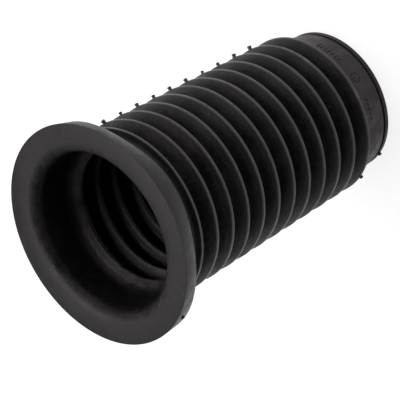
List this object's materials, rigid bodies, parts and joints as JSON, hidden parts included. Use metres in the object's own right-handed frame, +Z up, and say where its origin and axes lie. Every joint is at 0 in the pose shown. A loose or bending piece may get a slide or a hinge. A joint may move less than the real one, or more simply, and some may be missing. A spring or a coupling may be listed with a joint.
{
  "type": "rubber bellows boot",
  "caption": "Moulded black rubber bellows boot with a flared mouth flange, tapering folds and a plain clamping collar.",
  "frame": {"origin": "centre of the collar's end face, on which the boot stands", "axes": "+Z up the axis from the collar to the mouth, +X towards the row of vent pips"},
  "size_m": [0.0896, 0.0896, 0.1345],
  "materials": {
    "rubber": "matt moulded black rubber"
  },
  "bodies": {
    "root": {"bellows_boot": "rubber"}
  },
  "joints": []
}
